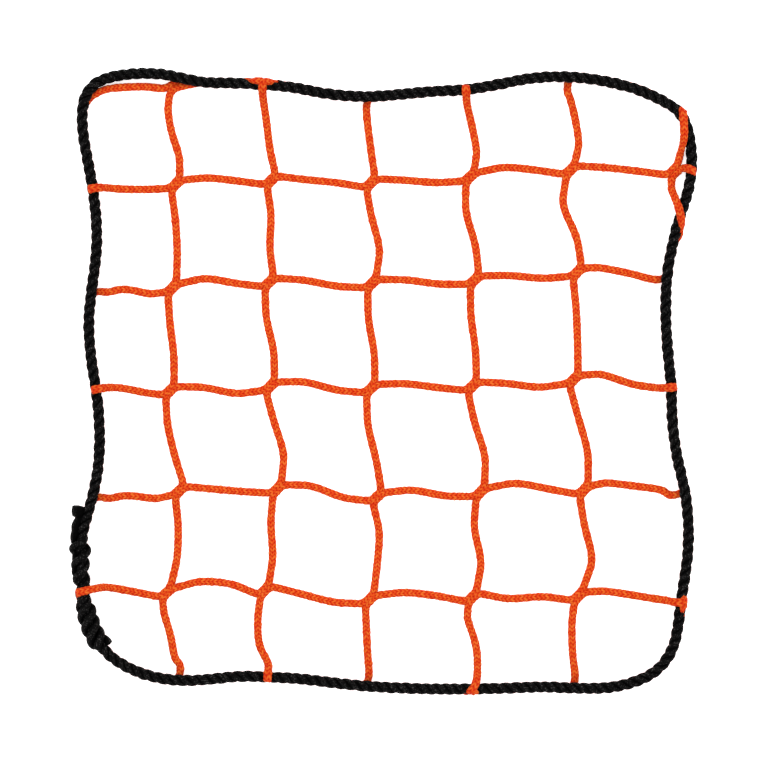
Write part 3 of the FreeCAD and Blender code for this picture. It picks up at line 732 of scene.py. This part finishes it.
# ------------------------------------------------------ materials
BRAID_FIBRES, ROPE_FIBRES = 4, 3    # fine waves across a yarn
BRAID_BUMP, ROPE_BUMP = 0.00006, 0.00008
BRAID_PATCHES, ROPE_PATCHES = 420.0, 260.0    # scales of the noise, to the metre
BRAID_GRAIN, ROPE_GRAIN = 2600.0, 1900.0
# from painted shade between the stitches, through the braid's orange, to painted highlight on their tops
NETTING_TONES_AND_SHADING = ((0.10, (0.35, 0.0050, 0.0009)), (0.45, (0.455, 0.0180, 0.0018)),
                 (0.80, (0.520, 0.054, 0.0050)), (1.05, (0.550, 0.112, 0.0150)))
PAINTED_SHADE_NEAR_ROPE = (0.85, 0.66, 0.66)    # painted shade where the braid is close to the rope
FUSED_ORANGE = (0.34, 0.018, 0.002)
STRAND_LIGHT = ((0.62, (0.0, 0.0, 0.0)), (0.99, (1.0, 1.0, 1.0)))    # from the grooves to the crown
# black with random tone, and painted shade in the grooves between yarns
BLACK_TONE_AND_YARN_SHADE = ((0.3, (0.0002, 0.0002, 0.0002)), (0.8, (0.0019, 0.0018, 0.0018)))
GLINTS = ((0.57, (0.0, 0.0, 0.0)), (0.70, (0.052, 0.050, 0.049)))
LEAST_BLACK = (0.0003, 0.0003, 0.0003)    # all that the grooves have
FLOOR_WHITE = (0.96, 0.96, 0.96)
FLOOR_GLOW = 0.60               # a lit white table, so nothing throws a shadow on it


def nodes_of(name):
    material = bpy.data.materials.new(name)
    material.use_nodes = True
    tree = material.node_tree
    tree.nodes.clear()
    return material, tree


def node(tree, kind, **settings):
    """A new node; a setting whose name starts with in_ is the value of an input."""
    made = tree.nodes.new(kind)
    for key, value in settings.items():
        if key.startswith("in_"):
            made.inputs[key[3:].replace("_", " ")].default_value = value
        else:
            setattr(made, key, value)
    return made


def attribute(tree, name):
    return node(tree, "ShaderNodeAttribute", attribute_name=name).outputs["Fac"]


def math_node(tree, operation, first, second=0.0):
    made = node(tree, "ShaderNodeMath", operation=operation)
    for slot, value in enumerate((first, second)):
        if isinstance(value, (int, float)):
            made.inputs[slot].default_value = value
        else:
            tree.links.new(value, made.inputs[slot])
    return made.outputs[0]


def plus(tree, base, value, share):
    """The base plus a share of a value."""
    return math_node(tree, "ADD", base, math_node(tree, "MULTIPLY", value, share))


def swing(tree, value):
    """A noise about 0 in place of 0.5."""
    return math_node(tree, "SUBTRACT", value, 0.5)


def fibre_waves(tree, ply, count):
    return math_node(tree, "SINE", math_node(tree, "MULTIPLY", ply, 2 * math.pi * count))


def ramp(tree, factor, stops):
    made = node(tree, "ShaderNodeValToRGB")
    elements = made.color_ramp.elements
    while len(elements) < len(stops):
        elements.new(0.5)
    for element, (position, colour) in zip(elements, stops):
        element.position = position
        element.color = (*colour, 1)
    tree.links.new(factor, made.inputs["Fac"])
    return made.outputs["Color"]


def noise(tree, scale, detail=3.0, roughness=0.6):
    place_of = node(tree, "ShaderNodeTexCoord").outputs["Object"]
    made = node(tree, "ShaderNodeTexNoise", in_Scale=scale, in_Detail=detail, in_Roughness=roughness)
    tree.links.new(place_of, made.inputs["Vector"])
    return made.outputs["Fac"]


def mix(tree, blend, factor, first, second):
    """Two colours blended; the numbers are the slots of a colour mix node."""
    made = node(tree, "ShaderNodeMix", data_type="RGBA", blend_type=blend)
    for slot, value in ((0, factor), (6, first), (7, second)):
        if isinstance(value, (int, float)):
            made.inputs[slot].default_value = value
        elif isinstance(value, tuple):
            made.inputs[slot].default_value = (*value, 1)
        else:
            tree.links.new(value, made.inputs[slot])
    return made.outputs[2]


def finish_material(tree, colour, roughness, height, bump_distance, specular):
    shader = node(tree, "ShaderNodeBsdfPrincipled", in_Specular_IOR_Level=specular)
    tree.links.new(colour, shader.inputs["Base Color"])
    tree.links.new(roughness, shader.inputs["Roughness"])
    bump = node(tree, "ShaderNodeBump", in_Strength=0.8, in_Distance=bump_distance)
    tree.links.new(height, bump.inputs["Height"])
    tree.links.new(bump.outputs["Normal"], shader.inputs["Normal"])
    out = node(tree, "ShaderNodeOutputMaterial")
    tree.links.new(shader.outputs["BSDF"], out.inputs["Surface"])


def netting_material():
    """Orange braid, with painted highlight on its stitches and painted shade between them and close to
    the rope.
    """
    material, tree = nodes_of("netting_braid")
    painted_relief_shading, ply, melt, painted_rope_shade = (attribute(tree, name) for name in ("painted_relief_shading", "ply", "melt", "painted_rope_shade"))
    fibres = fibre_waves(tree, ply, BRAID_FIBRES)
    uneven = noise(tree, BRAID_PATCHES)
    grain = noise(tree, BRAID_GRAIN, detail=2.0)
    # painted shade between the stitches and painted highlight on them, with random grain, fibres and
    # patches
    tone = plus(tree, painted_relief_shading, swing(tree, grain), 0.4)
    tone = plus(tree, tone, fibres, 0.06)
    tone = plus(tree, tone, swing(tree, uneven), 0.6)
    colour = ramp(tree, tone, NETTING_TONES_AND_SHADING)
    # painted shade where the braid is close to the rope
    colour = mix(tree, "MULTIPLY", math_node(tree, "MULTIPLY", painted_rope_shade, 0.6), colour, PAINTED_SHADE_NEAR_ROPE)
    colour = mix(tree, "MIX", math_node(tree, "MULTIPLY", melt, 0.5), colour, FUSED_ORANGE)
    rough = plus(tree, plus(tree, 0.62, grain, 0.2), melt, -0.3)
    finish_material(tree, colour, rough, plus(tree, grain, fibres, 0.5), BRAID_BUMP, specular=0.05)
    return material


def rope_material():
    """Black rope: dark fibres of random tone with painted shade between the yarns and fine painted
    glints, and painted shade that leaves the grooves between the strands all but unlit.
    """
    material, tree = nodes_of("border_rope")
    painted_relief_shading, ply, melt, crown = (attribute(tree, name) for name in ("painted_relief_shading", "ply", "melt", "crown"))
    fibres = fibre_waves(tree, ply, ROPE_FIBRES)
    uneven = noise(tree, ROPE_PATCHES)
    grain = noise(tree, ROPE_GRAIN, detail=2.0, roughness=0.5)
    lit = ramp(tree, crown, STRAND_LIGHT)
    # black with random tone and painted shade between the yarns
    black_and_yarn_shade = ramp(tree, plus(tree, math_node(tree, "MULTIPLY", painted_relief_shading, 0.5), uneven, 0.6), BLACK_TONE_AND_YARN_SHADE)
    colour = mix(tree, "ADD", 1.0, black_and_yarn_shade, ramp(tree, grain, GLINTS))
    colour = mix(tree, "MULTIPLY", 1.0, colour, lit)
    colour = mix(tree, "ADD", 1.0, colour, LEAST_BLACK)
    rough = plus(tree, plus(tree, 0.5, grain, 0.3), melt, -0.2)
    finish_material(tree, colour, rough, plus(tree, grain, fibres, 0.5), ROPE_BUMP, specular=0.02)
    return material


def floor_material():
    material, tree = nodes_of("floor")
    shader = node(tree, "ShaderNodeBsdfPrincipled", in_Roughness=0.9, in_Specular_IOR_Level=0.0)
    shader.inputs["Base Color"].default_value = (*FLOOR_WHITE, 1)
    shader.inputs["Emission Color"].default_value = (1, 1, 1, 1)
    shader.inputs["Emission Strength"].default_value = FLOOR_GLOW
    out = node(tree, "ShaderNodeOutputMaterial")
    tree.links.new(shader.outputs["BSDF"], out.inputs["Surface"])
    return material


# ------------------------------------------------------ camera, light, floor, in metres
LENS, SENSOR = 100, 36
VIEW_MIDDLE = (-0.0004, 0.0019, 0.004)
VIEW_WIDTH = 0.3326             # seen at the height of the view's middle
KEY = {"energy": 7.0, "size": 0.8, "place_at": (-0.25, 0.95, 1.15)}
FILL = {"energy": 3.0, "size": 1.4, "place_at": (0.6, -0.6, 1.2)}
WORLD_STRENGTH = 1.5
FLOOR_HALF = 3.0
FLOOR_TOP = -0.0002             # just under what lies on it


def add_camera():
    """Straight above the panel."""
    camera = bpy.data.cameras.new("camera")
    camera.lens = LENS
    camera.sensor_width = SENSOR
    camera.clip_start, camera.clip_end = 0.05, 20
    made = bpy.data.objects.new("camera", camera)
    x, y, z = VIEW_MIDDLE
    made.location = (x, y, z + VIEW_WIDTH / 2 / (SENSOR / 2 / LENS))
    bpy.context.scene.collection.objects.link(made)
    bpy.context.scene.camera = made


def add_light(name, energy, size, place_at):
    light = bpy.data.lights.new(name, "AREA")
    light.energy = energy
    light.size = size
    made = bpy.data.objects.new(name, light)
    made.location = place_at
    made.rotation_euler = (-Vector(place_at)).to_track_quat("-Z", "Y").to_euler()
    bpy.context.scene.collection.objects.link(made)


def add_world():
    world = bpy.data.worlds.new("studio")
    world.use_nodes = True
    background = world.node_tree.nodes["Background"]
    background.inputs["Color"].default_value = (1, 1, 1, 1)
    background.inputs["Strength"].default_value = WORLD_STRENGTH
    bpy.context.scene.world = world


def add_floor():
    mesh = bpy.data.meshes.new("floor")
    turns = ((-1, -1), (1, -1), (1, 1), (-1, 1))
    corners = [(x * FLOOR_HALF, y * FLOOR_HALF, FLOOR_TOP) for x, y in turns]
    mesh.from_pydata(corners, [], [(0, 1, 2, 3)])
    floor = bpy.data.objects.new("floor", mesh)
    mesh.materials.append(floor_material())
    bpy.context.scene.collection.objects.link(floor)


add_camera()
bpy.context.scene.view_settings.view_transform = "Standard"
NETTING, BLACK = netting_material(), rope_material()

# ------------------------------------------------------ the pieces
strands, rope_path, rope_length = make_rope()
for strand in strands:
    strand.data.materials.append(BLACK)
    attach(strand, "root")
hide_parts("border_rope")
for n, name in enumerate(SPLICE_STRANDS):
    piece = make_splice_strand(name, 60 + n)
    piece.data.materials.append(BLACK)
    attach(piece, "root")
    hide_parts(name.replace("tail", "strand"))
for n in range(MESHES):
    starts = (("left", (0, n), "left"), ("bottom", (n, 0), "below"))
    for k, (word, start, entering) in enumerate(starts):
        route = braid_route(start, entering)
        piece, path, length = make_braid(f"netting_from_{word}_{n + 1}", route, 2 * n + k + 1)
        piece.data.materials.append(NETTING)
        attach(piece, "root")
        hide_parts(f"braid_from_{word}_{n + 1}")

add_floor()
add_world()
add_light("key", **KEY)
add_light("fill", **FILL)
